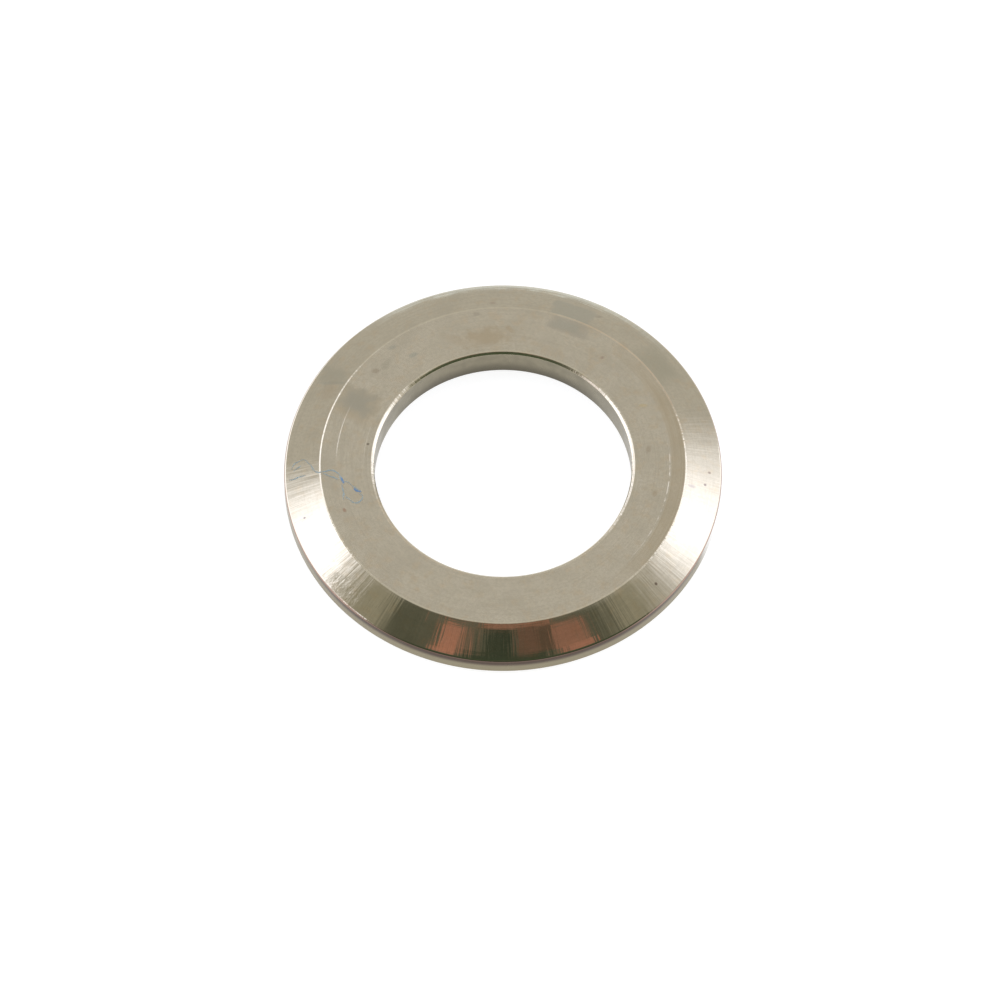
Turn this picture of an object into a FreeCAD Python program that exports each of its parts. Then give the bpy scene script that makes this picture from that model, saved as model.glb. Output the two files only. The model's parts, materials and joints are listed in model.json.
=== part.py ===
"""Dress washer: one flat ring turned from bar, with a wide bevel round its upper face.

It goes under the nut on a threaded bushing, seat down and bevel up. The ring lies on the XY plane with its
axis along +Z, and the origin is where the axis meets the seat. Sizes are in millimetres.
"""

import FreeCAD, Part
import os

import Sketcher

SIZES = {
    # Across the section, from the bore outwards: the flat upper face, then the bevel.
    "bore_diameter": 9.7,
    "face_width": 2.04,
    "bevel_width": 1.36,
    # Up the section, from the seat: the upright rim, then the fall of the bevel above it.
    "rim_height": 0.74,
    "bevel_height": 0.56,
    # Flat edge breaks: both ends of the bore, and the outer edge of the seat.
    "bore_edge_break": 0.08,
    "seat_edge_break": 0.07,
    # Polishing rolled over the two edges of the bevel: the one on the face and the one on the rim.
    "face_edge_radius": 0.2,
    "rim_edge_radius": 0.12,
}

BORE_RADIUS = "Sizes.bore_diameter / 2"
FACE_RADIUS = "Sizes.bore_diameter / 2 + Sizes.face_width"
RIM_RADIUS = "Sizes.bore_diameter / 2 + Sizes.face_width + Sizes.bevel_width"
SEAT_LEVEL = "0"
RIM_TOP_LEVEL = "Sizes.rim_height"
FACE_LEVEL = "Sizes.rim_height + Sizes.bevel_height"

ORIGIN_POINT = (-1, 1)
HORIZONTAL_AXIS = -1
START = 1
END = 2
SAME_PLACE = 1e-4


def make_sheet(doc):
    """The spreadsheet that holds the driving dimensions, one named cell each."""
    sheet = doc.addObject("Spreadsheet::Sheet", "Sizes")
    for row, (name, value) in enumerate(SIZES.items(), start=1):
        sheet.set(f"A{row}", name)
        sheet.set(f"B{row}", str(value))
        sheet.setAlias(f"B{row}", name)
    doc.recompute()
    return sheet


def worked_out(owner, expression):
    """The value that an expression on the sheet has now."""
    return float(owner.evalExpression(expression))


def add_size(sketch, name, kind, places, expression):
    """A dimension of the sketch, named and bound to the sheet."""
    constraint = Sketcher.Constraint(kind, *places, worked_out(sketch, expression))
    number = sketch.addConstraint(constraint)
    sketch.renameConstraint(number, name)
    sketch.setExpression(f"Constraints.{name}", expression)


def half_section(body):
    """Half of the ring's section, on the XZ plane: across is the radius and up is the height."""
    sketch = body.newObject("Sketcher::SketchObject", "HalfSection")
    plane = next(f for f in body.Origin.OriginFeatures if f.Role == "XZ_Plane")
    sketch.AttachmentSupport = [(plane, "")]
    sketch.MapMode = "FlatFace"

    bore = worked_out(sketch, BORE_RADIUS)
    face_edge = worked_out(sketch, FACE_RADIUS)
    outside = worked_out(sketch, RIM_RADIUS)
    rim_top = worked_out(sketch, RIM_TOP_LEVEL)
    top = worked_out(sketch, FACE_LEVEL)
    corners = [(bore, 0), (outside, 0), (outside, rim_top), (face_edge, top), (bore, top)]
    for here, there in zip(corners, corners[1:] + corners[:1]):
        sketch.addGeometry(Part.LineSegment(FreeCAD.Vector(*here, 0), FreeCAD.Vector(*there, 0)), False)

    seat, rim, bevel, face, wall = range(len(corners))
    for line, following in ((seat, rim), (rim, bevel), (bevel, face), (face, wall), (wall, seat)):
        sketch.addConstraint(Sketcher.Constraint("Coincident", line, END, following, START))
    for line in (seat, face):
        sketch.addConstraint(Sketcher.Constraint("Horizontal", line))
    for line in (rim, wall):
        sketch.addConstraint(Sketcher.Constraint("Vertical", line))
    sketch.addConstraint(Sketcher.Constraint("PointOnObject", seat, START, HORIZONTAL_AXIS))

    add_size(sketch, "bore_radius", "DistanceX", (*ORIGIN_POINT, seat, START), BORE_RADIUS)
    add_size(sketch, "face_width", "DistanceX", (face, END, face, START), "Sizes.face_width")
    add_size(sketch, "bevel_width", "DistanceX", (bevel, END, bevel, START), "Sizes.bevel_width")
    add_size(sketch, "rim_height", "DistanceY", (rim, START, rim, END), "Sizes.rim_height")
    add_size(sketch, "bevel_height", "DistanceY", (bevel, START, bevel, END), "Sizes.bevel_height")
    return sketch


def turned_blank(body):
    """The sharp-edged ring: its half section turned once about the upright axis."""
    sketch = half_section(body)
    blank = body.newObject("PartDesign::Revolution", "TurnedBlank")
    blank.Profile = sketch
    blank.ReferenceAxis = (sketch, ["V_Axis"])
    blank.Angle = 360
    body.Document.recompute()
    return blank


def ring_edge(feature, radius, level):
    """The name of the feature's round edge with this radius at this level, both expressions on the sheet."""
    wanted_radius = worked_out(feature, radius)
    wanted_level = worked_out(feature, level)
    for number, edge in enumerate(feature.Shape.Edges, start=1):
        if not isinstance(edge.Curve, Part.Circle):
            continue
        off_radius = abs(edge.Curve.Radius - wanted_radius)
        off_level = abs(edge.Curve.Center.z - wanted_level)
        if max(off_radius, off_level) < SAME_PLACE:
            return f"Edge{number}"
    raise RuntimeError(f"{feature.Label} has no round edge of radius {radius} at {level}")


def dress_edges(body, base, kind, name, size, places):
    """One chamfer or fillet feature on the base's round edges at these places, its size bound to the sheet."""
    feature = body.newObject(f"PartDesign::{kind}", name)
    feature.Base = (base, [ring_edge(base, radius, level) for radius, level in places])
    feature.setExpression("Size" if kind == "Chamfer" else "Radius", size)
    body.Document.recompute()
    if not feature.Shape.Volume < base.Shape.Volume:
        raise RuntimeError(f"{name} took nothing off")
    return feature


def make_washer(doc):
    """The washer, one solid: a turned blank with its edges broken and the bevel's edges rolled over."""
    body = doc.addObject("PartDesign::Body", "DressWasher")
    body.Label = "dress_washer"
    blank = turned_blank(body)
    bore_ends = [(BORE_RADIUS, SEAT_LEVEL), (BORE_RADIUS, FACE_LEVEL)]
    bored = dress_edges(body, blank, "Chamfer", "BoreEdgeBreaks", "Sizes.bore_edge_break", bore_ends)
    seat_rim = [(RIM_RADIUS, SEAT_LEVEL)]
    seated = dress_edges(body, bored, "Chamfer", "SeatEdgeBreak", "Sizes.seat_edge_break", seat_rim)
    face_rim = [(FACE_RADIUS, FACE_LEVEL)]
    faced = dress_edges(body, seated, "Fillet", "FaceEdgeRound", "Sizes.face_edge_radius", face_rim)
    rim_top = [(RIM_RADIUS, RIM_TOP_LEVEL)]
    body.Tip = dress_edges(body, faced, "Fillet", "RimEdgeRound", "Sizes.rim_edge_radius", rim_top)
    body.Placement = FreeCAD.Placement()
    return body


def check(doc, parts):
    """Stops the build if an object failed or a sub-part isn't one valid closed solid."""
    failed = [o.Label for o in doc.Objects if {"Invalid", "Error"} & set(o.State)]
    if failed:
        raise RuntimeError(f"these objects failed: {failed}")
    for part in parts:
        shape = part.Shape
        if shape.isNull() or not shape.isValid() or len(shape.Solids) != 1:
            raise RuntimeError(f"{part.Label} is not one valid solid")


def main():
    doc = FreeCAD.newDocument("DressWasher")
    make_sheet(doc)
    parts = [make_washer(doc)]
    doc.recompute()
    check(doc, parts)
    os.makedirs("parts", exist_ok=True)
    for part in parts:
        part.Shape.exportStep(f"parts/{part.Label}.step")
        box = part.Shape.optimalBoundingBox(False, False)
        print(
            f"{part.Label}: {box.XLength:.3f} x {box.YLength:.3f} x {box.ZLength:.3f} mm,"
            f" {part.Shape.Volume:.2f} mm3, {len(part.Shape.Faces)} faces"
        )


main()
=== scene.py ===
"""Dress washer: the plated finish of one turned ring, lying bevel up on a white table in soft light.

Lengths are in metres and angles in degrees, and what is given in millimetres says so. Places on the
washer are given from its axis, towards +X and +Y, or as an angle round it from +X towards +Y. The camera
looks from -Y.
"""

import json
from collections import namedtuple

import bpy
import numpy as np
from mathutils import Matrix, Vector


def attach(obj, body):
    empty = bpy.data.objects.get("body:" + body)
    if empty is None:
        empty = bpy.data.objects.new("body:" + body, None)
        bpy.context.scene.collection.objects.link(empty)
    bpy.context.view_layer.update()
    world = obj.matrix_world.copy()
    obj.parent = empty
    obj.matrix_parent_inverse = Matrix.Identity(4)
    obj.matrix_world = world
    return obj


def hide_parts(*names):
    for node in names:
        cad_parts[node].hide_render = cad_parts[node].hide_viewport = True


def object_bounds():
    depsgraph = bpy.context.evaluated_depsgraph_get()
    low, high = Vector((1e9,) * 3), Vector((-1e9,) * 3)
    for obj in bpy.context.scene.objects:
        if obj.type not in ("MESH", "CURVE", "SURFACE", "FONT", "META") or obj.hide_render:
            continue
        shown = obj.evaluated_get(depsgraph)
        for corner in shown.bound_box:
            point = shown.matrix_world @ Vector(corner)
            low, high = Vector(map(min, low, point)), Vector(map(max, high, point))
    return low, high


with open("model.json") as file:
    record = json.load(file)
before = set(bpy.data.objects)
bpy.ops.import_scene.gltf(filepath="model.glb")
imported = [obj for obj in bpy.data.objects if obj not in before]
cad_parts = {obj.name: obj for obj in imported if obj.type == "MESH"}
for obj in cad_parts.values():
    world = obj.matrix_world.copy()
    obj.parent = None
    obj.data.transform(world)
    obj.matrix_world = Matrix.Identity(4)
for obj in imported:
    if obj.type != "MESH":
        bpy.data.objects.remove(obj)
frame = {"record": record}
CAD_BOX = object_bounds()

bl_info = {
    "name": "Dress washer",
    "version": (1, 0, 0),
    "blender": (4, 5, 0),
    "location": "3D View > Sidebar > Washer",
    "description": "Builds a turned dress washer with its plated finish, and a small white studio round it",
    "category": "Add Mesh",
}

OUTER_RADIUS = CAD_BOX[1].x
THICKNESS = CAD_BOX[1].z
BORE_RADIUS = next(m for m in frame["record"]["mounts"] if m["name"] == "bore")["dims"]["r_mm"] / 1000

MM = 0.001
NODE = "dress_washer"


def length(name, description, default):
    """A length that the user can set."""
    return bpy.props.FloatProperty(
        name=name, description=description, default=default, precision=6, unit="LENGTH"
    )


def share(name, description, default):
    """A plain number from 0 to 1 that the user can set."""
    return bpy.props.FloatProperty(name=name, description=description, default=default, min=0, max=1)


def colour(name, description, default):
    """A colour that the user can set."""
    return bpy.props.FloatVectorProperty(
        name=name, description=description, default=default, size=3, min=0, max=1, subtype="COLOR"
    )


class WasherSizes(bpy.types.PropertyGroup):
    """The turned ring's sizes: those of the solid, and what polishing and wear did to its section."""

    outer_radius: length("Outer radius", "From the axis to the rim", OUTER_RADIUS)
    bore_radius: length("Bore radius", "From the axis to the bore's wall", BORE_RADIUS)
    thickness: length("Thickness", "From the seat to the upper face", THICKNESS)
    bevel_width: length("Bevel width", "Across the bevel, seen from above", 1.36 * MM)
    bevel_height: length("Bevel height", "How far the bevel falls from the face to the rim", 0.56 * MM)
    bevel_crown: length("Bevel crown", "How far polishing left the bevel's middle proud", 0.014 * MM)
    bore_edge_break: length("Bore edge break", "Width of the flat broken edge at the bore's ends", 0.08 * MM)
    seat_edge_break: length("Seat edge break", "Width of the broken edge round the seat", 0.07 * MM)
    face_edge_radius: length("Face edge radius", "Rolled edge between the face and the bevel", 0.2 * MM)
    rim_edge_radius: length("Rim edge radius", "Rolled edge between the bevel and the rim", 0.12 * MM)
    bore_edge_radius: length("Bore edge radius", "Wear where the bore's break meets the face", 0.14 * MM)
    sharp_edge_radius: length("Sharp edge radius", "What is left on an edge that was cut sharp", 0.012 * MM)
    steps_round: bpy.props.IntProperty(
        name="Steps round", description="How many points go round the axis", default=900, min=96
    )


class WasherFinish(bpy.types.PropertyGroup):
    """The colours and the sheen of the plating."""

    nickel: colour("Nickel", "The plate's own colour", (0.56, 0.50, 0.375))
    dull_nickel: colour("Dull nickel", "The plate on the turned rim and seat", (0.29, 0.252, 0.168))
    dull_bore: colour("Dull bore", "The plate on the bore's wall", (0.265, 0.235, 0.165))
    worn_corner: colour("Worn corner", "Where the plate is thin on the rim's corner", (0.42, 0.27, 0.22))
    face_roughness: share("Face roughness", "How far the face spreads a reflection", 0.2)
    edge_roughness: share("Edge roughness", "How far the rolled edges spread a reflection", 0.16)
    bevel_roughness: share("Bevel roughness", "How far the bevel spreads a reflection", 0.07)
    side_roughness: share("Side roughness", "How far the rim and the bore spread a reflection", 0.3)


class LintSettings(bpy.types.PropertyGroup):
    """The wisp of blue lint that lies on the washer."""

    fibre_radius: length("Fibre radius", "Half of a fibre's width", 0.010 * MM)
    fibre_spread: length("Fibre spread", "How far the fibres of a strand stray from its middle", 0.026 * MM)
    fibre_waves: length("Fibre waves", "Length of a fibre's waves", 0.45 * MM)
    strand_colour: colour("Strand colour", "The lint's pale blue", (0.27, 0.40, 0.45))
    knot_colour: colour("Knot colour", "The lint's blue where it is thick", (0.11, 0.24, 0.45))


class StudioSetup(bpy.types.PropertyGroup):
    """The camera and the light round the washer."""

    camera_elevation: bpy.props.FloatProperty(
        name="Camera elevation",
        description="How steeply the camera looks down",
        default=np.radians(59.7),
        subtype="ANGLE",
    )
    camera_distance: length("Camera distance", "From the camera to its target", 355 * MM)
    camera_lens: bpy.props.FloatProperty(
        name="Camera lens", description="Focal length in millimetres", default=339, min=1
    )
    target_x: length("Target X", "Where the camera aims, along X", -0.113 * MM)
    target_y: length("Target Y", "Where the camera aims, along Y", -0.823 * MM)
    sky_level: bpy.props.FloatProperty(
        name="Sky level", description="Light from all round, where 1 is white", default=0.72, min=0
    )
    floor_glow: share("Floor glow", "How much of the floor's white is its own", 0.82)
    card_distance: length("Card distance", "From the washer to the lamps and cards", 250 * MM)


def rounded_corner(before, corner, after, radius, steps):
    """The corner's arc: a circle of this radius that touches both sides, walked in equal turns from the
    first side to the second. It starts at radius times the tangent of half the turn before the corner, and
    its centre stands square to the first side from there."""
    before, corner, after = (np.array(p, float) for p in (before, corner, after))
    incoming = (corner - before) / np.linalg.norm(corner - before)
    outgoing = (after - corner) / np.linalg.norm(after - corner)
    turn = np.arctan2(incoming[0] * outgoing[1] - incoming[1] * outgoing[0], incoming @ outgoing)
    start = corner - incoming * radius * np.tan(abs(turn) / 2)
    inward = np.array([-incoming[1], incoming[0]]) * np.sign(turn)
    turned = np.linspace(0, abs(turn), steps)[:, None]
    return start + radius * (np.sin(turned) * incoming + (1 - np.cos(turned)) * inward)


Corner = namedtuple("Corner", "radius height edge_radius arc_steps arc_finish finish steps")

# How far from its ends a straight stretch of the section has its extra points.
CLOSE_TO_CORNER = 0.015 * MM


def section_corners(sizes):
    """The section's corners, anticlockwise from the bore's lower edge. Each has its edge's radius, steps and
    finish, and the finish and steps of the straight stretch that follows it."""
    bore = sizes.bore_radius
    rim = sizes.outer_radius
    top = sizes.thickness
    bore_break = sizes.bore_edge_break
    seat_break = sizes.seat_edge_break
    sharp = sizes.sharp_edge_radius
    return [
        Corner(bore + bore_break, 0, sharp, 3, "rim", "rim", 3),
        Corner(rim - seat_break, 0, sharp, 3, "rim", "rim", 1),
        Corner(rim, seat_break, sharp, 3, "rim", "rim", 3),
        Corner(rim, top - sizes.bevel_height, sizes.rim_edge_radius, 14, "bevel", "bevel", 12),
        Corner(rim - sizes.bevel_width, top, sizes.face_edge_radius, 13, "edge", "face", 9),
        Corner(bore + bore_break, top, sizes.bore_edge_radius, 9, "edge", "edge", 2),
        Corner(bore, top - bore_break, sharp, 3, "edge", "bore", 5),
        Corner(bore, bore_break, sharp, 3, "bore", "bore", 1),
    ]


def shares_along(steps, span):
    """Shares of the way along a straight stretch: even steps, and one more point close to each end, so that
    the smooth shading of a rounded corner doesn't spread over the flat."""
    if steps == 1:
        return np.empty((0, 1))
    close = min(0.2, CLOSE_TO_CORNER / span)
    even = np.linspace(0, 1, steps + 1)[1:-1]
    return np.concatenate([[close], even, [1 - close]])[:, None]


def section_outline(sizes):
    """The rounded section as points of radius and height, with the finish of the surface after each point.
    The bevel bulges by the crown times 4 s (1 - s), where s goes from 0 to 1 along it."""
    corners = section_corners(sizes)
    count = len(corners)
    places = [(c.radius, c.height) for c in corners]
    arcs = [
        rounded_corner(places[n - 1], places[n], places[(n + 1) % count], c.edge_radius, c.arc_steps)
        for n, c in enumerate(corners)
    ]
    points = []
    finishes = []
    for number, (corner, arc) in enumerate(zip(corners, arcs)):
        start = arc[-1]
        end = arcs[(number + 1) % count][0]
        along = shares_along(corner.steps, np.linalg.norm(end - start))
        stretch = start + (end - start) * along
        if corner.finish == "bevel":
            outward = np.array([end[1] - start[1], start[0] - end[0]])
            outward /= np.linalg.norm(outward)
            stretch = stretch + outward * sizes.bevel_crown * 4 * along * (1 - along)
        points += [arc, stretch]
        finishes += [corner.arc_finish] * (len(arc) - 1) + [corner.finish] * (len(stretch) + 1)
    return np.concatenate(points), finishes


def show_mesh(name, vertices, faces, materials=(), numbers=None):
    """A smooth mesh from whole arrays of points, of four-cornered faces and of each face's material."""
    mesh = bpy.data.meshes.new(name)
    mesh.vertices.add(len(vertices))
    mesh.vertices.foreach_set("co", np.asarray(vertices, np.float32).ravel())
    mesh.loops.add(faces.size)
    mesh.loops.foreach_set("vertex_index", faces.astype(np.int32).ravel())
    mesh.polygons.add(len(faces))
    mesh.polygons.foreach_set("loop_start", np.arange(0, faces.size, 4, dtype=np.int32))
    for material in materials:
        mesh.materials.append(material)
    if numbers is not None:
        mesh.polygons.foreach_set("material_index", np.asarray(numbers, np.int32))
    mesh.polygons.foreach_set("use_smooth", np.ones(len(faces), bool))
    mesh.update(calc_edges=True)
    made = bpy.data.objects.new(name, mesh)
    bpy.context.scene.collection.objects.link(made)
    return made


def grid_faces(rows, columns, rows_close=False, columns_close=False):
    """Four-cornered faces between the neighbours in a grid of points, and between its last and its first
    rows or columns where those close up."""
    row, column = np.meshgrid(
        np.arange(rows if rows_close else rows - 1),
        np.arange(columns if columns_close else columns - 1),
        indexing="ij",
    )
    row_after = (row + 1) % rows
    column_after = (column + 1) % columns
    corners = [(row, column), (row, column_after), (row_after, column_after), (row_after, column)]
    return np.stack([r * columns + c for r, c in corners], -1).reshape(-1, 4)


def closed_ring(name, outline, finishes, materials, steps_round):
    """A closed outline of radius and height carried once round the axis. Its point at angle a stands at
    radius times (cos a, sin a), at its height. Faces look out of the section."""
    around = np.linspace(0, 2 * np.pi, steps_round, endpoint=False)
    radius = outline[:, 0][:, None]
    height = outline[:, 1][:, None] + 0 * around
    vertices = np.stack([radius * np.cos(around), radius * np.sin(around), height], -1).reshape(-1, 3)
    faces = grid_faces(len(outline), steps_round, rows_close=True, columns_close=True)
    numbers = np.repeat([list(materials).index(finish) for finish in finishes], steps_round)
    return show_mesh(name, vertices, faces, materials.values(), numbers)


def add_node(tree, kind, inputs=None, **settings):
    """A node of this kind with these settings. Its inputs are plain values or other nodes' sockets."""
    made = tree.nodes.new(kind)
    for name, value in settings.items():
        setattr(made, name, value)
    for name, value in (inputs or {}).items():
        if isinstance(value, bpy.types.NodeSocket):
            tree.links.new(value, made.inputs[name])
        else:
            made.inputs[name].default_value = value
    return made


def calculate(tree, operation, *values):
    """The result of one sum on plain values or sockets."""
    return add_node(tree, "ShaderNodeMath", dict(enumerate(values)), operation=operation).outputs[0]


def hypotenuse(tree, across, up):
    """The length of a step that goes this far across and this far up."""
    squares = [calculate(tree, "MULTIPLY", part, part) for part in (across, up)]
    return calculate(tree, "SQRT", calculate(tree, "ADD", *squares))


def ramp(tree, value, low, high):
    """0 where the value is at low, 1 where it is at high, and a smooth curve between."""
    inputs = {"Value": value, "From Min": low, "From Max": high}
    made = add_node(tree, "ShaderNodeMapRange", inputs, interpolation_type="SMOOTHSTEP", clamp=True)
    return made.outputs["Result"]


def blend_colours(tree, amount, first, second):
    """The first colour, turning into the second as the amount goes from 0 to 1."""
    made = add_node(tree, "ShaderNodeMix", data_type="RGBA")
    for name, value in (("Factor", amount), ("A", first), ("B", second)):
        socket = next(s for s in made.inputs if s.name == name and s.enabled)
        if isinstance(value, bpy.types.NodeSocket):
            tree.links.new(value, socket)
        elif name == "Factor":
            socket.default_value = value
        else:
            socket.default_value = (*value, 1)
    return next(s for s in made.outputs if s.enabled)


def overlay(tree, base, tint, mask, amount):
    """The base colour with a tint laid over it where the mask is 1, by this amount."""
    return blend_colours(tree, calculate(tree, "MULTIPLY", mask, amount), base, tint)


def shade(tint, factor):
    """The colour made darker or lighter by this factor."""
    return tuple(min(1.0, factor * part) for part in tint)


def noise(tree, vector, scale, detail=2.0):
    """Soft noise from 0 to 1, with this many features to each unit of the vector."""
    inputs = {"Vector": vector, "Scale": scale, "Detail": detail}
    return add_node(tree, "ShaderNodeTexNoise", inputs).outputs["Fac"]


def new_material(name):
    """An empty material and its node tree."""
    material = bpy.data.materials.new(name)
    material.use_nodes = True
    material.node_tree.nodes.clear()
    return material, material.node_tree


def end_material(tree, shader):
    """Puts the shader on the surface."""
    output = add_node(tree, "ShaderNodeOutputMaterial")
    tree.links.new(shader, output.inputs["Surface"])


class Place:
    """Where a point of the surface is, in millimetres: its position, radius and direction from the axis."""

    def __init__(self, tree):
        self.tree = tree
        coordinates = add_node(tree, "ShaderNodeTexCoord").outputs["Object"]
        scaled = add_node(tree, "ShaderNodeVectorMath", {0: coordinates}, operation="SCALE")
        scaled.inputs["Scale"].default_value = 1 / MM
        self.position = scaled.outputs[0]
        parts = add_node(tree, "ShaderNodeSeparateXYZ", {0: self.position}).outputs
        self.radius = hypotenuse(tree, parts["X"], parts["Y"])
        self.height = parts["Z"]
        self.right = calculate(tree, "DIVIDE", parts["X"], self.radius)
        self.back = calculate(tree, "DIVIDE", parts["Y"], self.radius)
        self.wander = calculate(tree, "SUBTRACT", noise(tree, self.position, 2.8, 4.0), 0.5)

    def round_and_across(self, per_turn, per_mm):
        """A vector that changes with the direction from the axis and with the radius, at these rates."""
        scale_round = per_turn / (2 * np.pi)
        inputs = {
            "X": calculate(self.tree, "MULTIPLY", self.right, scale_round),
            "Y": calculate(self.tree, "MULTIPLY", self.back, scale_round),
            "Z": calculate(self.tree, "MULTIPLY", self.radius, per_mm),
        }
        return add_node(self.tree, "ShaderNodeCombineXYZ", inputs).outputs[0]

    def band(self, inner, outer, soft):
        """1 between two radii in millimetres, and 0 outside them."""
        rise = ramp(self.tree, self.radius, inner - soft, inner + soft)
        fall = ramp(self.tree, self.radius, outer + soft, outer - soft)
        return calculate(self.tree, "MULTIPLY", rise, fall)

    def patch(self, x, y, half_length, half_width, turned, square, edge, ragged):
        """1 inside a patch and 0 outside it. It is centred on x and y, has its length along the direction
        turned, and is round or square. The noise moves its outline by the ragged share of its size."""
        tree = self.tree
        inputs = {
            "Vector": self.position,
            "Location": (x, y, 0),
            "Rotation": (0, 0, np.radians(turned)),
            "Scale": (half_length, half_width, 1),
        }
        local = add_node(tree, "ShaderNodeMapping", inputs, vector_type="TEXTURE").outputs[0]
        parts = add_node(tree, "ShaderNodeSeparateXYZ", {0: local}).outputs
        if square:
            sides = [calculate(tree, "ABSOLUTE", parts[n]) for n in ("X", "Y")]
            distance = calculate(tree, "SMOOTH_MAX", *sides, 0.3)
        else:
            distance = hypotenuse(tree, parts["X"], parts["Y"])
        distance = calculate(tree, "MULTIPLY_ADD", self.wander, ragged, distance)
        return ramp(tree, distance, 1 + edge, 1 - edge)


TintedPatch = namedtuple("TintedPatch", "x y half_length half_width turned square edge ragged colour amount")

# What the photograph shows on the plate: films, blotches and specks, with places and sizes in millimetres.
# Two darker patches on the bevel are painted reflection.
FACE_STAINS = (
    TintedPatch(-5.56, 2.61, 0.80, 0.66, -28, True, 0.25, 1.0, (0.475, 0.395, 0.265), 0.6),
    TintedPatch(-5.49, 2.72, 0.50, 0.46, -28, True, 0.7, 2.0, (0.395, 0.37, 0.29), 0.75),
    TintedPatch(2.51, 6.02, 0.76, 0.31, -22, True, 0.2, 0.7, (0.45, 0.395, 0.30), 0.6),
    TintedPatch(2.47, 6.04, 0.60, 0.22, -22, True, 0.6, 1.2, (0.42, 0.395, 0.305), 0.7),
    TintedPatch(-0.61, 5.58, 0.85, 0.36, 8, False, 0.6, 3.0, (0.475, 0.39, 0.26), 0.8),
    TintedPatch(-1.75, 5.42, 0.50, 0.18, -25, False, 0.6, 2.6, (0.475, 0.40, 0.28), 0.5),
    TintedPatch(5.29, 2.55, 0.16, 0.07, 0, False, 0.5, 1.0, (0.56, 0.45, 0.25), 0.6),
    TintedPatch(-5.95, -2.02, 0.06, 0.09, 30, False, 0.5, 1.0, (0.36, 0.20, 0.12), 0.6),
    TintedPatch(-5.09, 0.86, 0.05, 0.05, 0, False, 0.4, 0.8, (0.22, 0.18, 0.13), 0.8),
    TintedPatch(-4.17, 5.11, 0.17, 0.10, 20, False, 0.6, 1.4, (0.39, 0.37, 0.29), 0.6),
    TintedPatch(-3.41, 4.78, 0.15, 0.10, 20, False, 0.6, 1.4, (0.39, 0.38, 0.30), 0.6),
    TintedPatch(-4.41, 4.38, 0.22, 0.12, 60, False, 0.6, 1.6, (0.42, 0.38, 0.28), 0.6),
    TintedPatch(-4.81, 4.07, 0.12, 0.08, 10, False, 0.6, 1.4, (0.38, 0.31, 0.22), 0.55),
    TintedPatch(-1.01, 6.59, 0.11, 0.07, 0, False, 0.6, 1.2, (0.39, 0.34, 0.26), 0.55),
    TintedPatch(3.75, 4.66, 0.08, 0.06, 40, False, 0.5, 1.2, (0.36, 0.26, 0.20), 0.6),
    TintedPatch(5.71, -1.28, 0.13, 0.09, 70, False, 0.6, 1.4, (0.45, 0.37, 0.25), 0.7),
    TintedPatch(5.48, 0.64, 0.14, 0.08, 80, False, 0.6, 1.4, (0.42, 0.35, 0.25), 0.6),
)
BEVEL_STAINS_AND_REFLECTIONS = (
    TintedPatch(2.62, 6.72, 0.80, 0.46, -20, True, 0.16, 0.5, (0.445, 0.42, 0.33), 0.65),
    # Painted reflection: a darker patch standing in for a dimmer reflection on the bevel's left.
    TintedPatch(-6.40, 4.00, 0.60, 0.34, -30, True, 0.6, 1.2, (0.43, 0.395, 0.30), 0.6),
    TintedPatch(-6.44, 3.66, 0.46, 0.07, -12, False, 0.8, 1.6, (0.38, 0.37, 0.30), 0.5),
    TintedPatch(-6.55, 3.30, 0.40, 0.28, 55, False, 0.6, 1.8, (0.47, 0.39, 0.275), 0.5),
    # Painted reflection: a darker patch standing in for a dimmer reflection on the bevel's right.
    TintedPatch(5.85, 4.42, 0.80, 0.50, -56, True, 0.6, 1.0, (0.43, 0.395, 0.29), 0.65),
    TintedPatch(-0.39, 7.16, 0.11, 0.06, 0, False, 0.6, 1.2, (0.42, 0.34, 0.25), 0.6),
    TintedPatch(3.65, 6.64, 0.12, 0.07, 10, False, 0.6, 1.2, (0.40, 0.35, 0.26), 0.5),
    TintedPatch(-7.45, -2.16, 0.05, 0.05, 0, False, 0.4, 0.8, (0.20, 0.18, 0.17), 0.9),
    TintedPatch(5.72, -5.04, 0.05, 0.05, 0, False, 0.4, 0.8, (0.16, 0.11, 0.08), 0.85),
    TintedPatch(7.60, -0.75, 0.05, 0.05, 0, False, 0.4, 0.8, (0.24, 0.19, 0.16), 0.85),
    TintedPatch(7.77, -0.19, 0.06, 0.05, 0, False, 0.5, 0.8, (0.26, 0.20, 0.15), 0.8),
    TintedPatch(7.10, -0.91, 0.12, 0.07, 0, False, 0.6, 1.4, (0.36, 0.31, 0.27), 0.6),
)

# The shape of the scuffed place on the bevel, in the order of a tinted patch's.
SCUFF = (-5.95, -5.15, 1.15, 0.55, -48, False, 0.4, 0.8)

# The inner and outer radius in millimetres of a brown band on the right of the face.
BROWN_BAND = (6.36, 6.86)
BROWN_BAND_TINT = (0.46, 0.38, 0.25)

# The radius and the depth of the tool rings in the face, and half of a ring's width, in millimetres.
TOOL_RINGS = ((6.29, 0.0022), (5.25, 0.0011), (5.12, 0.0009))
TOOL_RING_HALF = 0.012

# Counts of spokes to the turn, each with its height in millimetres.
EDGE_CHATTER = ((90, 0.008), (260, 0.007), (700, 0.003))
BEVEL_CHATTER = ((120, 0.0045), (420, 0.0025), (1000, 0.0009))

# The rim's painted shade under its corner at the front, its painted light on the far right, and the lint
# where it is thin.
RIM_PAINTED_SHADE = (0.085, 0.057, 0.042)
RIM_PAINTED_LIGHT = (0.92, 0.91, 0.89)
GREY_COTTON = (0.36, 0.36, 0.30)


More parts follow.
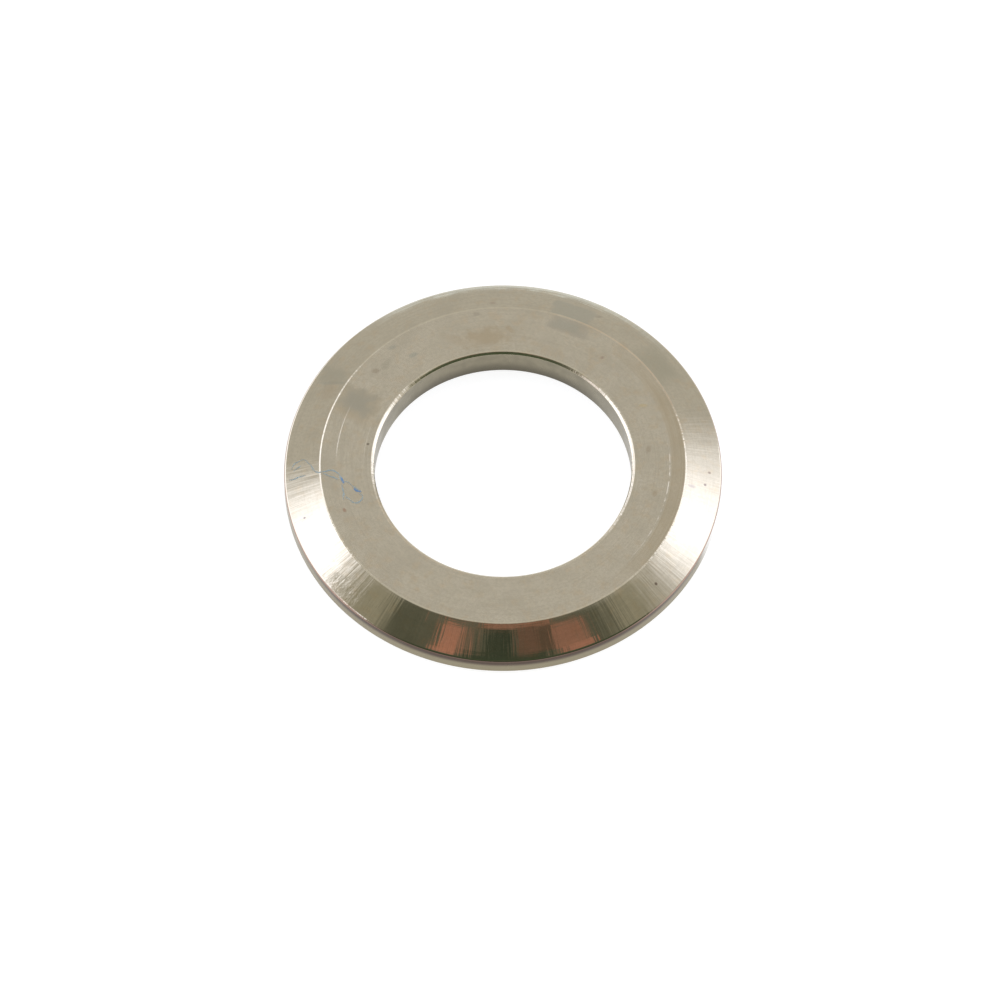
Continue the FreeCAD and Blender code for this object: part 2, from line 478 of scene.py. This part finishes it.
def tarnished(place, nickel, stains_and_reflections):
    """The plate's colour on the upper side: its own, clouded and speckled, under the given films and blotches
    and any patches of painted reflection.
    """
    tree = place.tree
    clouds = noise(tree, place.position, 0.8, 5.0)
    base = blend_colours(tree, ramp(tree, clouds, 0.42, 0.68), nickel, shade(nickel, 0.93))
    warm = (0.98 * nickel[0], 0.91 * nickel[1], 0.83 * nickel[2])
    blush = ramp(tree, place.wander, -0.02, 0.24)
    base = overlay(tree, base, warm, blush, 0.7)
    grain = ramp(tree, noise(tree, place.position, 9.0, 5.0), 0.36, 0.68)
    base = overlay(tree, base, shade(nickel, 0.83), grain, 0.4)
    drawn = ramp(tree, noise(tree, place.round_and_across(9, 17), 1.0, 3.0), 0.40, 0.75)
    base = overlay(tree, base, shade(nickel, 0.80), drawn, 0.30)
    side = ramp(tree, place.right, 0.55, 0.95)
    brown_band = calculate(tree, "MULTIPLY", place.band(*BROWN_BAND, 0.07), side)
    streaky = calculate(tree, "MULTIPLY_ADD", drawn, 0.4, 0.5)
    base = overlay(tree, base, BROWN_BAND_TINT, brown_band, streaky)
    for *shape, tint, amount in stains_and_reflections:
        base = overlay(tree, base, tint, place.patch(*shape), amount)
    return base


def chatter(place, heights):
    """Spokes across the ring, as a chattering tool leaves: each height in millimetres goes with one count of
    features to the turn, and the spokes are stronger in some places than in others."""
    tree = place.tree
    total = 0.0
    for number, (per_turn, height) in enumerate(heights):
        spokes = noise(tree, place.round_and_across(per_turn, 0.5 + 0.2 * number), 1.0, 1.0)
        total = calculate(tree, "MULTIPLY_ADD", spokes, height * MM, total)
    strength = ramp(tree, noise(tree, place.round_and_across(24, 0.8), 1.0, 2.0), 0.25, 0.65)
    return calculate(tree, "MULTIPLY", total, calculate(tree, "MULTIPLY_ADD", strength, 0.75, 0.25))


def plated_metal(place, base, roughness, height):
    """A plated surface of this colour. The height in metres raises its marks."""
    tree = place.tree
    smudge = ramp(tree, noise(tree, place.position, 1.7, 3.0), 0.3, 0.7)
    spread = calculate(tree, "MULTIPLY_ADD", smudge, 0.2 * roughness, 0.9 * roughness)
    bump = add_node(tree, "ShaderNodeBump", {"Height": height, "Strength": 1.0, "Distance": 1.0})
    inputs = {"Base Color": base, "Metallic": 1.0, "Roughness": spread, "Normal": bump.outputs["Normal"]}
    end_material(tree, add_node(tree, "ShaderNodeBsdfPrincipled", inputs).outputs["BSDF"])


def tool_rings(place):
    """The height of the fine rings that a tool left. They are deep enough to catch the light on the left and,
    broken up, on the right."""
    tree = place.tree
    far_left = ramp(tree, place.right, -0.86, -0.96)
    left = calculate(tree, "MULTIPLY", far_left, ramp(tree, place.back, -0.06, 0.14))
    far_right = ramp(tree, place.right, 0.72, 0.82)
    right = calculate(tree, "MULTIPLY", far_right, ramp(tree, place.back, 0.26, 0.04))
    broken = ramp(tree, noise(tree, place.round_and_across(200, 0.1), 1.0, 1.0), 0.36, 0.62)
    broken = calculate(tree, "MULTIPLY_ADD", broken, 0.7, 0.3)
    strength = calculate(tree, "MULTIPLY_ADD", right, broken, left)
    height = 0.0
    for radius, depth in TOOL_RINGS:
        groove = place.band(radius - TOOL_RING_HALF, radius + TOOL_RING_HALF, TOOL_RING_HALF)
        height = calculate(tree, "MULTIPLY_ADD", groove, -depth * MM, height)
    return calculate(tree, "MULTIPLY", height, strength)


def face_material(finish):
    """Satin nickel with fine rings round the axis."""
    material, tree = new_material("satin_nickel_face")
    place = Place(tree)
    base = tarnished(place, tuple(finish.nickel), FACE_STAINS)
    rings = noise(tree, place.round_and_across(12, 24), 1.0, 3.0)
    height = calculate(tree, "MULTIPLY_ADD", rings, 0.0014 * MM, tool_rings(place))
    plated_metal(place, base, finish.face_roughness, height)
    return material


def edge_material(finish):
    """The rolled and broken edges: painted brighter than the face as a highlight, and beaded by the tool's
    chatter.
    """
    material, tree = new_material("edges_painted_highlight")
    place = Place(tree)
    # Painted highlight: the edges' colour is the nickel made brighter.
    base = tarnished(place, shade(finish.nickel, 1.12), ())
    plated_metal(place, base, finish.edge_roughness, chatter(place, EDGE_CHATTER))
    return material


def rim_colour_and_shading(place, finish):
    """The dull plate on the rim, with painted shade towards its upper corner at the front and painted light
    on the far right.
    """
    tree = place.tree
    # Painted shade: the rim darkens towards its upper corner at the front.
    front = ramp(tree, place.back, -0.25, -0.75)
    upper = calculate(tree, "MULTIPLY", ramp(tree, place.height, 0.34, 0.60), front)
    base = blend_colours(tree, upper, tuple(finish.dull_nickel), RIM_PAINTED_SHADE)
    # Painted light: the rim turns pale on the far right.
    return blend_colours(tree, ramp(tree, place.right, 0.875, 0.96), base, RIM_PAINTED_LIGHT)


def bevel_material(finish):
    """The polished bevel, with spokes of chatter, faint rings and a scuffed place. It dulls into the rim and
    the rim's painted shade and light, and its worn corner has painted shade at the front.
    """
    material, tree = new_material("polished_nickel_bevel")
    place = Place(tree)
    base = tarnished(place, tuple(finish.nickel), BEVEL_STAINS_AND_REFLECTIONS)
    rise = ramp(tree, place.height, 0.655, 0.69)
    fall = ramp(tree, place.height, 0.755, 0.72)
    corner = calculate(tree, "MULTIPLY", rise, fall)
    # Below the corner the bevel takes the rim's colour, with its painted shade and painted light.
    base = blend_colours(tree, ramp(tree, place.height, 0.72, 0.68), base, rim_colour_and_shading(place, finish))
    # The worn corner is real wear; painted shade makes it darker at the front.
    front = ramp(tree, place.back, -0.62, -0.90)
    worn_and_shaded = blend_colours(tree, front, tuple(finish.worn_corner), shade(finish.worn_corner, 0.3))
    base = overlay(tree, base, worn_and_shaded, corner, 0.85)
    height = chatter(place, BEVEL_CHATTER)
    rings = noise(tree, place.round_and_across(16, 9), 1.0, 3.0)
    height = calculate(tree, "MULTIPLY_ADD", rings, 0.0012 * MM, height)
    scuffs = calculate(tree, "MULTIPLY", noise(tree, place.position, 2.8, 5.0), 0.012 * MM)
    height = calculate(tree, "MULTIPLY_ADD", place.patch(*SCUFF), scuffs, height)
    plated_metal(place, base, finish.bevel_roughness, height)
    return material


def drawn_marks(place, height):
    """Fine upright marks on a side of the ring, up to this many millimetres high."""
    marks = noise(place.tree, place.round_and_across(260, 1.0), 1.0, 2.0)
    return calculate(place.tree, "MULTIPLY", marks, height * MM)


def rim_material(finish):
    """The dull turned rim, and the seat under it, with the rim's painted shade and painted light."""
    material, tree = new_material("dull_nickel_rim")
    place = Place(tree)
    plated_metal(place, rim_colour_and_shading(place, finish), finish.side_roughness, drawn_marks(place, 0.003))
    return material


def bore_material(finish):
    """The dull bore, with painted shade towards its foot at the back."""
    material, tree = new_material("dull_nickel_bore")
    place = Place(tree)
    tint = tuple(finish.dull_bore)
    mottle = ramp(tree, noise(tree, place.position, 2.5, 4.0), 0.35, 0.7)
    base = blend_colours(tree, mottle, tint, shade(tint, 0.85))
    # Painted shade: the wall darkens towards its foot at the back.
    painted_foot_shade = ramp(tree, place.height, 0.85, 0.10)
    base = overlay(tree, base, shade(tint, 0.45), painted_foot_shade, ramp(tree, place.back, 0.45, 0.9))
    plated_metal(place, base, finish.side_roughness, drawn_marks(place, 0.004))
    return material


class WASHER_OT_ring(bpy.types.Operator):
    """Builds the turned ring and dresses it in its plate"""

    bl_idname = "washer.ring"
    bl_label = "Turned ring"

    def execute(self, context):
        sizes = context.scene.washer_sizes
        finish = context.scene.washer_finish
        materials = {
            "face": face_material(finish),
            "edge": edge_material(finish),
            "bevel": bevel_material(finish),
            "rim": rim_material(finish),
            "bore": bore_material(finish),
        }
        outline, finishes = section_outline(sizes)
        ring = closed_ring("turned_ring", outline, finishes, materials, sizes.steps_round)
        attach(ring, "root")
        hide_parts(NODE)
        return {"FINISHED"}


# The wisp's strands and its two knots, each a run of places in millimetres.
STRANDS = (
    (
        (-7.97, -0.01), (-7.82, 0.23), (-7.53, 0.31), (-7.30, 0.10), (-7.15, -0.17), (-6.95, -0.39),
        (-6.77, -0.34), (-6.37, -0.30), (-6.17, -0.47), (-6.05, -0.74), (-5.79, -0.84), (-5.50, -1.10),
        (-5.30, -1.20),
    ),
    ((-6.77, -0.44), (-6.50, -0.54), (-6.19, -0.70)),
    ((-6.05, -0.90), (-5.99, -1.30), (-5.99, -1.57)),
    ((-5.90, -1.43), (-5.64, -1.67), (-5.38, -1.67), (-5.28, -1.43), (-5.39, -1.27)),
    ((-7.88, -0.10), (-7.76, -0.02), (-7.62, 0.08)),
    ((-8.05, -0.44), (-7.82, -0.44), (-7.44, -0.37)),
)
KNOTS = (((-6.09, -0.60), (-6.03, -0.74), (-5.98, -0.86)), ((-5.60, -1.08), (-5.48, -1.19), (-5.33, -1.22)))

# A fibre's steps from one place to the next, its points round, and the faces that close its end.
FIBRE_STEPS = 8
FIBRE_SIDES = 8
FIBRE_CAP = np.array([[0, 1, 2, 3], [0, 3, 4, 7], [4, 5, 6, 7]])

# Above this level the section belongs to the washer's upper side.
UPPER_SIDE = 0.5 * MM


def smooth_path(places, steps):
    """A curve through the places: between each two, the cubic whose slope at a place is half of the step
    from the place before it to the one after."""
    places = np.array(places, float)
    padded = np.concatenate([2 * places[:1] - places[1:2], places, 2 * places[-1:] - places[-2:-1]])
    before, start, end, after = (padded[n : n + len(places) - 1, None] for n in range(4))
    t = np.linspace(0, 1, steps, endpoint=False)[None, :, None]
    curve = start + (end - before) / 2 * t
    curve = curve + (before - 2.5 * start + 2 * end - after / 2) * t**2
    curve = curve + (1.5 * (start - end) + (after - before) / 2) * t**3
    return np.concatenate([curve.reshape(-1, 2), places[-1:]])


def level_aside(path):
    """The level direction square to the path at each of its points."""
    heading = np.gradient(path, axis=0)
    heading /= np.linalg.norm(heading, axis=1, keepdims=True)
    return np.column_stack([-heading[:, 1], heading[:, 0]])


def fibre_mesh(places, phase, radius, settings, outline):
    """One fibre of a strand, lying on the washer's upper side and thinner at its ends. It sways to both
    sides of the strand as a sine of the way along it, and its point at angle a stands radius cos a to the
    side and half of radius sin a up."""
    path = smooth_path(places, FIBRE_STEPS) * MM
    way = np.concatenate([[0], np.cumsum(np.linalg.norm(np.diff(path, axis=0), axis=1))])
    sway = settings.fibre_spread * np.sin(phase + 2 * np.pi * way / settings.fibre_waves)
    path = path + level_aside(path) * sway[:, None]
    upper = outline[np.argsort(outline[:, 0] + 1e-6 * outline[:, 1])]
    upper = upper[upper[:, 1] > UPPER_SIDE]
    height = np.interp(np.hypot(*path.T), upper[:, 0], upper[:, 1]) + 0.3 * radius
    taper = np.sin(np.pi * np.linspace(0.04, 0.96, len(path))) ** 0.35
    turn = np.linspace(0, 2 * np.pi, FIBRE_SIDES, endpoint=False)
    aside = np.column_stack([level_aside(path), 0 * height])
    across = (radius * taper)[:, None, None] * np.cos(turn)[None, :, None] * aside[:, None]
    up = (0.5 * radius * taper)[:, None, None] * np.sin(turn)[None, :, None] * np.array([0, 0, 1.0])
    tube = np.column_stack([path, height])[:, None] + across + up
    walls = grid_faces(len(path), FIBRE_SIDES, columns_close=True)
    ends = [FIBRE_CAP[:, ::-1], FIBRE_CAP + (len(path) - 1) * FIBRE_SIDES]
    return tube.reshape(-1, 3), np.concatenate([walls, *ends])


def lint_material(name, tint, faint):
    """Dyed cotton, greyer in places by the share faint."""
    material, tree = new_material(name)
    thin = ramp(tree, noise(tree, Place(tree).position, 4.0, 2.0), 0.42, 0.62)
    base = overlay(tree, tint, GREY_COTTON, thin, faint)
    inputs = {"Base Color": base, "Roughness": 0.9}
    end_material(tree, add_node(tree, "ShaderNodeBsdfPrincipled", inputs).outputs["BSDF"])
    return material


class WASHER_OT_lint(bpy.types.Operator):
    """Lays the wisp of blue lint across the bevel and the face"""

    bl_idname = "washer.lint"
    bl_label = "Blue lint"

    def execute(self, context):
        settings = context.scene.washer_lint
        outline, _ = section_outline(context.scene.washer_sizes)
        pale = lint_material("pale_blue_lint", tuple(settings.strand_colour), 0.75)
        deep = lint_material("deep_blue_lint", tuple(settings.knot_colour), 0.3)
        for name, paths, fibres, fuller, material in (
            ("lint_strands", STRANDS, 2, 1.0, pale),
            ("lint_knots", KNOTS, 4, 1.15, deep),
        ):
            vertices = []
            faces = []
            for number, (path, fibre) in enumerate((p, f) for p in paths for f in range(fibres)):
                phase = number + 2 * np.pi * fibre / fibres
                points, quads = fibre_mesh(path, phase, fuller * settings.fibre_radius, settings, outline)
                faces.append(quads + sum(len(v) for v in vertices))
                vertices.append(points)
            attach(show_mesh(name, np.concatenate(vertices), np.concatenate(faces), [material]), "root")
        return {"FINISHED"}


WHITE = (0.78, 0.82, 1.0)
OLIVE = (0.165, 0.17, 0.135)
PINKISH = (1.0, 0.86, 0.80)
PALE_BLUE = (0.80, 0.88, 1.0)
GREY = (0.46, 0.45, 0.38)
COPPER = (0.68, 0.33, 0.255)
DULL_COPPER = (0.45, 0.24, 0.185)
RED_BROWN = (0.22, 0.137, 0.107)
BROWN = (0.20, 0.125, 0.09)
MOSS_GREEN = (0.09, 0.12, 0.075)
DARK_GREEN = (0.053, 0.072, 0.05)

# A card is placed by where the camera sees it in the washer. Both rows of four angles say where it starts to
# show, is full, starts to fade and is gone: first round the axis, then by the surface's tilt. It is seen at a
# radius in millimetres, which is negative where the surface leans towards the axis. Its reach is a share of
# the card distance, and a shorter reach hides a longer one. Streaks is how strong its stripes are.
Card = namedtuple(
    "Card",
    "around tilt seen_at tint level reach streak_tint streaks lights_floor",
    defaults=(WHITE, 0, False),
)
CARD_STEPS = 32
BEVEL = 7.6
EDGE = 6.87
BORE = -4.9
CARDS = {
    "softbox_left": Card(
        (-184, -156, -153, -137.5), (18.6, 19.2, 40, 44), BEVEL, WHITE, 3.4, 1.0, lights_floor=True
    ),
    "softbox_right": Card(
        (-43, -20, -26, 22), (19.2, 19.8, 40, 44), BEVEL, WHITE, 3.4, 1.0, lights_floor=True
    ),
    "edge_left": Card((138, 166, 190, 208), (3.5, 5.5, 18, 19), EDGE, WHITE, 2.6, 0.98),
    "edge_right": Card((-42, -24, 6, 15), (4, 6, 17.5, 18.5), EDGE, WHITE, 2.6, 0.98),
    "edge_back": Card((14, 26, 58, 76), (6, 8, 15, 17), EDGE, PINKISH, 0.85, 0.98),
    "bore_left": Card((-38, -24, 2, 9), (28.5, 30.5, 51, 54), BORE, WHITE, 2.8, 0.97),
    "bore_right": Card((-223, -208, -146, -139), (28, 29.5, 51, 54), BORE, WHITE, 2.8, 0.97),
    "bore_beads": Card((-141, -139, -130, -126), (30, 34, 51, 54), BORE, WHITE, 2.6, 0.965, BROWN, 1),
    "back_light": Card((36, 64, 112, 134), (24.1, 24.5, 29.5, 31), BEVEL, PALE_BLUE, 1.41, 0.97),
    "grey_front": Card((-137, -132, -50, -41), (18.4, 20.7, 50, 56), BEVEL, GREY, 1.0, 0.96, OLIVE, 0.2),
    "olive_front": Card(
        (-127, -121, -64, -51), (18.0, 20.3, 56, 60), BEVEL, OLIVE, 1.0, 0.94, DARK_GREEN, 0.3
    ),
    "copper_left": Card(
        (-108.8, -107.6, -105.4, -96.5), (20.3, 20.8, 24.3, 24.7), BEVEL, COPPER, 1.0, 0.92, BROWN, 0.4
    ),
    "copper_right": Card(
        (-76.2, -75.4, -67.2, -65.8), (20.5, 21.0, 24.3, 24.8), BEVEL, DULL_COPPER, 1.0, 0.92, BROWN, 0.3
    ),
    "brown_right": Card(
        (-86, -85.2, -80.3, -79.6), (20.2, 20.7, 23.9, 24.3), BEVEL, RED_BROWN, 1.0, 0.92, BROWN, 0.5
    ),
    "dark_right": Card(
        (-80.2, -79.6, -76, -75.4), (20.2, 20.7, 23.9, 24.3), BEVEL, BROWN, 0.8, 0.92, OLIVE, 0.8
    ),
    "copper_strip": Card(
        (-98, -96, -77, -75), (18.5, 19.5, 20.4, 20.6), BEVEL, DULL_COPPER, 1.0, 0.90, BROWN, 0.4
    ),
    "green_block": Card(
        (-94.8, -94.3, -87.4, -86.9), (20.35, 20.6, 56, 60), BEVEL, DARK_GREEN, 1.0, 0.89, OLIVE, 0.2
    ),
    "green_foot": Card((-101, -99, -78, -76), (23.9, 24.3, 56, 60), BEVEL, DARK_GREEN, 1.2, 0.88, OLIVE, 0.2),
    "hook_left": Card(
        (-110.5, -109, -106, -101), (24.0, 24.3, 24.9, 25.6), BEVEL, COPPER, 1.05, 0.87, BROWN, 0.2
    ),
    "hook_right": Card(
        (-75, -72, -65.4, -64.4), (24.0, 24.3, 24.9, 25.6), BEVEL, COPPER, 0.9, 0.87, BROWN, 0.2
    ),
    "bore_dark": Card((-120, -114, -52, -45), (31, 34, 51, 54), BORE, MOSS_GREEN, 1.0, 0.86),
}


def camera_place(studio):
    """Where the camera stands, the point that it looks at, and the direction back to it from there."""
    back = Vector((0, -np.cos(studio.camera_elevation), np.sin(studio.camera_elevation)))
    target = Vector((studio.target_x, studio.target_y, 0))
    return target + back * studio.camera_distance, back


def mirrored_points(camera, around, tilt, radius, distance):
    """Points that the camera sees in the washer at a radius, where its surface leans by tilt towards the
    angle around. From there they lie at the distance along the mirrored line of sight: twice the normal
    times its product with the direction to the camera, less that direction."""
    around, tilt = np.broadcast_arrays(np.radians(around), np.radians(tilt))
    outward = np.stack([np.cos(around), np.sin(around), 0 * around], -1)
    places = radius * outward + np.array([0, 0, THICKNESS])
    to_camera = np.array(camera) - places
    to_camera /= np.linalg.norm(to_camera, axis=-1, keepdims=True)
    normal = np.sin(tilt)[..., None] * outward + np.cos(tilt)[..., None] * np.array([0, 0, 1.0])
    facing = np.sum(normal * to_camera, axis=-1, keepdims=True)
    return places + distance * (2 * facing * normal - to_camera)


def card_mesh(name, card, camera, distance):
    """The card as a patch of a sphere round the washer. Its two attributes hold the angle round the axis and
    the tilt at which the washer shows each point."""
    around = np.linspace(card.around[0], card.around[-1], CARD_STEPS + 1)[None, :]
    tilt = np.linspace(card.tilt[0], card.tilt[-1], CARD_STEPS + 1)[:, None]
    around, tilt = np.broadcast_arrays(around, tilt)
    points = mirrored_points(camera, around, tilt, card.seen_at * MM, distance * card.reach)
    made = show_mesh(name, points.reshape(-1, 3), grid_faces(CARD_STEPS + 1, CARD_STEPS + 1))
    for label, values in (("around", around), ("tilt", tilt)):
        attribute = made.data.attributes.new(label, "FLOAT", "POINT")
        attribute.data.foreach_set("value", values.astype(np.float32).ravel())
    return made


def card_material(name, card):
    """A plain glow that fades out over the card's soft borders."""
    material, tree = new_material(name)
    solid = 1.0
    read = {}
    for label, limits in (("around", card.around), ("tilt", card.tilt)):
        value = add_node(tree, "ShaderNodeAttribute", attribute_name=label).outputs["Fac"]
        read[label] = value
        solid = calculate(tree, "MULTIPLY", ramp(tree, value, limits[0], limits[1]), solid)
        solid = calculate(tree, "MULTIPLY", ramp(tree, value, limits[3], limits[2]), solid)
    stripes = add_node(tree, "ShaderNodeCombineXYZ", {"X": read["around"], "Y": card.around[0]}).outputs[0]
    stripes = ramp(tree, noise(tree, stripes, 0.9, 4.0), 0.40, 0.62)
    tint = overlay(tree, card.tint, card.streak_tint, stripes, card.streaks)
    glow = add_node(tree, "ShaderNodeEmission", {"Color": tint, "Strength": card.level}).outputs[0]
    clear = add_node(tree, "ShaderNodeBsdfTransparent").outputs[0]
    end_material(tree, add_node(tree, "ShaderNodeMixShader", {0: solid, 1: clear, 2: glow}).outputs[0])
    return material


def make_floor(studio):
    """A wide white floor. It is matt, and a glow of its own to the eye and in the metal makes it white."""
    reach = 1.5
    corners = np.array([(-reach, -reach, 0), (reach, -reach, 0), (reach, reach, 0), (-reach, reach, 0)])
    paint = (0.35, 0.35, 0.345, 1)
    material, tree = new_material("white_floor")
    matt = add_node(tree, "ShaderNodeBsdfDiffuse", {"Color": paint}).outputs[0]
    rays = add_node(tree, "ShaderNodeLightPath").outputs
    seen = calculate(tree, "ADD", rays["Is Camera Ray"], rays["Is Glossy Ray"])
    seen = calculate(tree, "ADD", seen, rays["Is Transmission Ray"])
    strength = calculate(tree, "MULTIPLY", seen, studio.floor_glow)
    glow = add_node(tree, "ShaderNodeEmission", {"Strength": strength}).outputs[0]
    end_material(tree, add_node(tree, "ShaderNodeAddShader", {0: matt, 1: glow}).outputs[0])
    show_mesh("floor", corners, np.array([[0, 1, 2, 3]]), [material])


def make_sky(studio):
    """Even light from all round."""
    world = bpy.data.worlds.new("studio_sky")
    world.use_nodes = True
    background = world.node_tree.nodes["Background"]
    background.inputs["Color"].default_value = (1, 1, 1, 1)
    background.inputs["Strength"].default_value = studio.sky_level
    bpy.context.scene.world = world


def make_cards(studio):
    """The softboxes and cards that the washer mirrors. The eye doesn't see them, and they shade nothing."""
    camera, _ = camera_place(studio)
    for name, card in CARDS.items():
        made = card_mesh(name, card, camera, studio.card_distance)
        made.data.materials.append(card_material(name, card))
        made.visible_camera = False
        made.visible_shadow = False
        made.visible_diffuse = card.lights_floor


def make_camera(studio):
    """The camera looks along +Y and down, at a point beside the washer's middle, through a long lens."""
    place, back = camera_place(studio)
    data = bpy.data.cameras.new("camera")
    data.lens = studio.camera_lens
    data.clip_start = 0.01
    data.clip_end = 10
    camera = bpy.data.objects.new("camera", data)
    camera.location = place
    camera.rotation_euler = (-back).to_track_quat("-Z", "Y").to_euler()
    bpy.context.scene.collection.objects.link(camera)
    bpy.context.scene.camera = camera


class WASHER_OT_stage(bpy.types.Operator):
    """Sets up the floor, the sky, the softboxes, the cards and the camera"""

    bl_idname = "washer.stage"
    bl_label = "Studio"

    def execute(self, context):
        studio = context.scene.washer_studio
        make_floor(studio)
        make_sky(studio)
        make_cards(studio)
        make_camera(studio)
        context.scene.view_settings.view_transform = "Standard"
        return {"FINISHED"}


class WASHER_PT_panel(bpy.types.Panel):
    """The washer's sizes and finish, and a button for each of its operators"""

    bl_idname = "WASHER_PT_panel"
    bl_label = "Dress washer"
    bl_space_type = "VIEW_3D"
    bl_region_type = "UI"
    bl_category = "Washer"

    def draw(self, context):
        for name, group in GROUPS.items():
            box = self.layout.box()
            for setting in group.__annotations__:
                box.prop(getattr(context.scene, name), setting)
        for operator in OPERATORS:
            self.layout.operator(operator.bl_idname)


GROUPS = {
    "washer_sizes": WasherSizes,
    "washer_finish": WasherFinish,
    "washer_lint": LintSettings,
    "washer_studio": StudioSetup,
}
OPERATORS = (WASHER_OT_ring, WASHER_OT_lint, WASHER_OT_stage)


def register():
    for kind in (*GROUPS.values(), *OPERATORS, WASHER_PT_panel):
        bpy.utils.register_class(kind)
    for name, group in GROUPS.items():
        setattr(bpy.types.Scene, name, bpy.props.PointerProperty(type=group))


def unregister():
    for name in GROUPS:
        delattr(bpy.types.Scene, name)
    for kind in (WASHER_PT_panel, *reversed(OPERATORS), *GROUPS.values()):
        bpy.utils.unregister_class(kind)


def main():
    register()
    bpy.ops.washer.ring()
    bpy.ops.washer.lint()
    bpy.ops.washer.stage()


if __name__ == "__main__":
    main()
